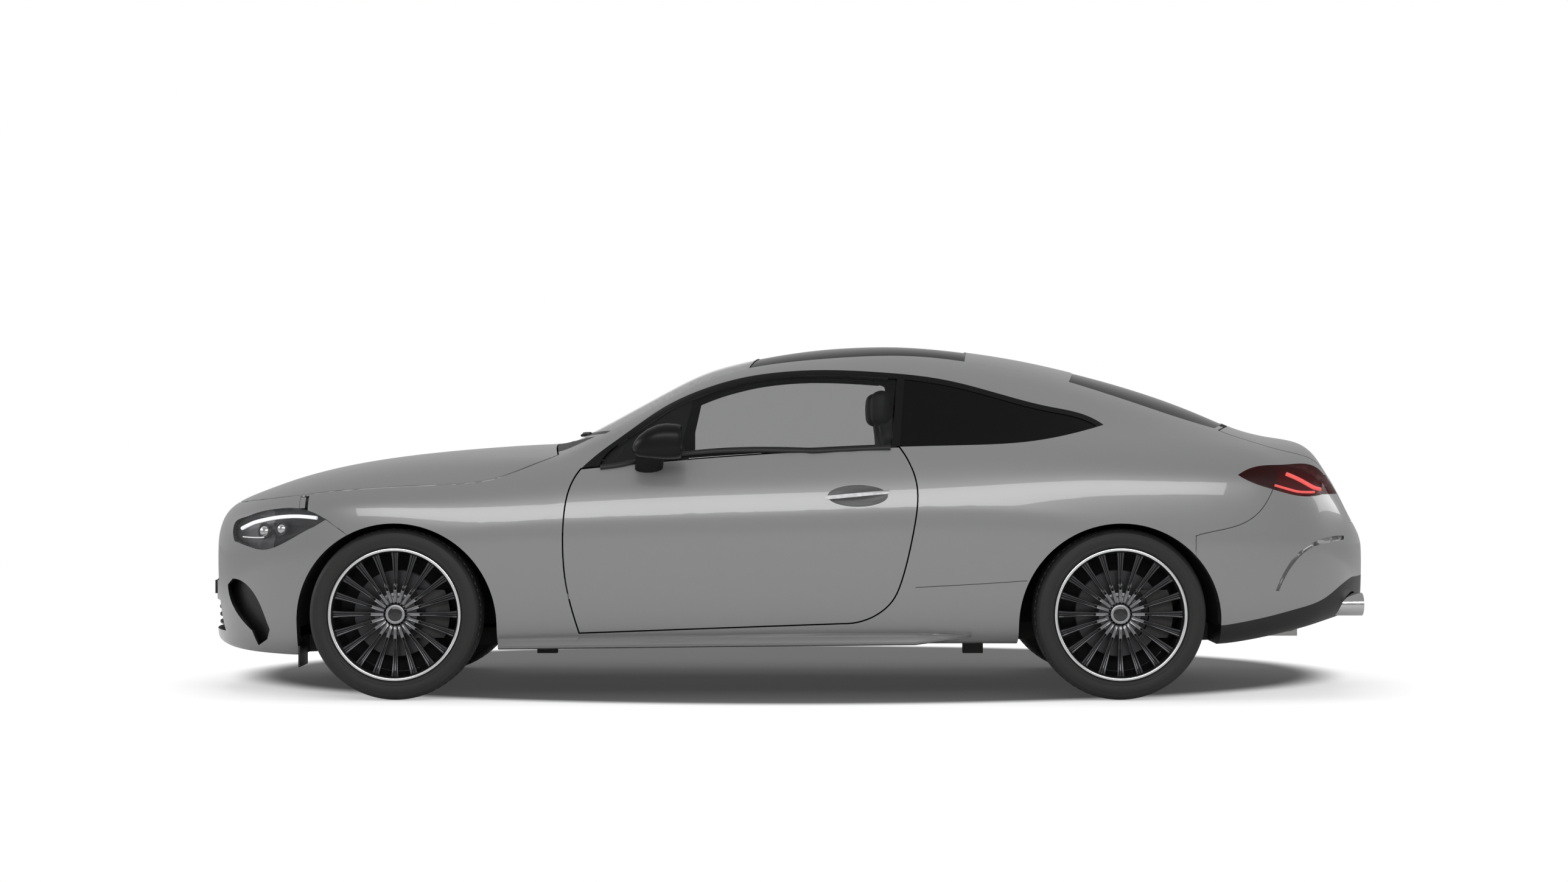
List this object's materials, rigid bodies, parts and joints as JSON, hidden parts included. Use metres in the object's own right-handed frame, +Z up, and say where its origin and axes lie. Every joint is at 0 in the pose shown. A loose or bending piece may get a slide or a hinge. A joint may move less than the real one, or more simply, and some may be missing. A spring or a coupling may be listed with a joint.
{
  "type": "coupe car",
  "caption": "Full-size two-door coupe with opening doors, bonnet and boot, steered front wheels and freely turning multi-spoke wheels.",
  "frame": {"origin": "on the ground, midway between nose and tail and between the two sides", "axes": "-X towards the nose, -Y towards the car's left side, +Z up"},
  "size_m": [4.76, 2.024, 1.4195],
  "materials": {
    "black_trim": "satin",
    "body_paint": "gloss",
    "cabin_plastic": "matte",
    "carpet_board": "matte",
    "cast_metal": "matte",
    "clear_glass": "gloss",
    "dark_glass": "gloss",
    "engine_metal": "satin",
    "exhaust_steel": "satin",
    "gloss_black": "gloss",
    "lamp_glass": "gloss",
    "liner_felt": "matte",
    "rim_alloy": "gloss",
    "seat_leather": "satin",
    "tail_glass": "gloss",
    "tyre_rubber": "matte",
    "underbody": "matte",
    "wheel_leather": "satin"
  },
  "bodies": {
    "shell": {"arch_liners": "liner_felt", "bulkheads": "carpet_board", "dashboard": "cabin_plastic", "engine_block": "engine_metal", "exhaust": "exhaust_steel", "floor_pan": "underbody", "front_bumper": "body_paint", "front_grille": "black_trim", "front_seats": "seat_leather", "front_subframe": "cast_metal", "front_wings": "body_paint", "headlamps": "lamp_glass", "quarter_windows": "dark_glass", "rear_bench": "seat_leather", "rear_bumper": "body_paint", "rear_suspension": "cast_metal", "rear_valance": "black_trim", "rear_window": "dark_glass", "roof_glass": "dark_glass", "roof_panel": "body_paint", "scuttle": "black_trim", "side_frame_left": "body_paint", "side_frame_right": "body_paint", "tail_lamps": "tail_glass", "window_trims": "gloss_black", "windscreen": "clear_glass"},
    "left_door": {"door_left": "body_paint", "door_glass_left": "clear_glass", "mirror_left": "gloss_black"},
    "right_door": {"door_right": "body_paint", "door_glass_right": "clear_glass", "mirror_right": "gloss_black"},
    "bonnet_lid": {"bonnet": "body_paint"},
    "boot": {"boot_lid": "body_paint"},
    "left_knuckle": {"knuckle_left": "cast_metal"},
    "right_knuckle": {"knuckle_right": "cast_metal"},
    "helm": {"steering_wheel": "wheel_leather"},
    "wheel_front_left": {"rim_front_left": "rim_alloy", "tyre_front_left": "tyre_rubber"},
    "wheel_front_right": {"rim_front_right": "rim_alloy", "tyre_front_right": "tyre_rubber"},
    "wheel_rear_left": {"rim_rear_left": "rim_alloy", "tyre_rear_left": "tyre_rubber"},
    "wheel_rear_right": {"rim_rear_right": "rim_alloy", "tyre_rear_right": "tyre_rubber"}
  },
  "joints": [
    {"name": "steer_left", "type": "hinge", "parent": "shell", "child": "left_knuckle", "pos_m": [-1.555, -0.745, 0.3395], "axis": [0, 0, 1], "range_deg": [-33, 33]},
    {"name": "steer_right", "type": "hinge", "parent": "shell", "child": "right_knuckle", "pos_m": [-1.555, 0.745, 0.3395], "axis": [0, 0, 1], "range_deg": [-33, 33]},
    {"name": "steering_wheel_turn", "type": "hinge", "parent": "shell", "child": "helm", "pos_m": [-0.43, -0.37, 0.9], "axis": [0.9135, 0, 0.4067], "range_deg": [-462, 462]},
    {"name": "door_left_open", "type": "hinge", "parent": "shell", "child": "left_door", "pos_m": [-0.895, -0.906, 0.6], "axis": [0, 0, -1], "range_deg": [0, 65]},
    {"name": "door_right_open", "type": "hinge", "parent": "shell", "child": "right_door", "pos_m": [-0.895, 0.906, 0.6], "axis": [0, 0, 1], "range_deg": [0, 65]},
    {"name": "bonnet_lift", "type": "hinge", "parent": "shell", "child": "bonnet_lid", "pos_m": [-0.925, 0, 1.02], "axis": [0, 1, 0], "range_deg": [0, 50]},
    {"name": "boot_lift", "type": "hinge", "parent": "shell", "child": "boot", "pos_m": [1.738, 0, 1.125], "axis": [0, -1, 0], "range_deg": [0, 70]},
    {"name": "spin_front_left", "type": "hinge", "parent": "left_knuckle", "child": "wheel_front_left", "pos_m": [-1.555, -0.79, 0.3395], "axis": [0, 1, 0], "continuous": true},
    {"name": "spin_front_right", "type": "hinge", "parent": "right_knuckle", "child": "wheel_front_right", "pos_m": [-1.555, 0.79, 0.3395], "axis": [0, 1, 0], "continuous": true},
    {"name": "spin_rear_left", "type": "hinge", "parent": "shell", "child": "wheel_rear_left", "pos_m": [1.31, -0.79, 0.3395], "axis": [0, 1, 0], "continuous": true},
    {"name": "spin_rear_right", "type": "hinge", "parent": "shell", "child": "wheel_rear_right", "pos_m": [1.31, 0.79, 0.3395], "axis": [0, 1, 0], "continuous": true}
  ],
  "couplings": [
    {"joint": "steer_right", "follows": "steer_left", "ratio": 1},
    {"joint": "steering_wheel_turn", "follows": "steer_left", "ratio": 14}
  ]
}
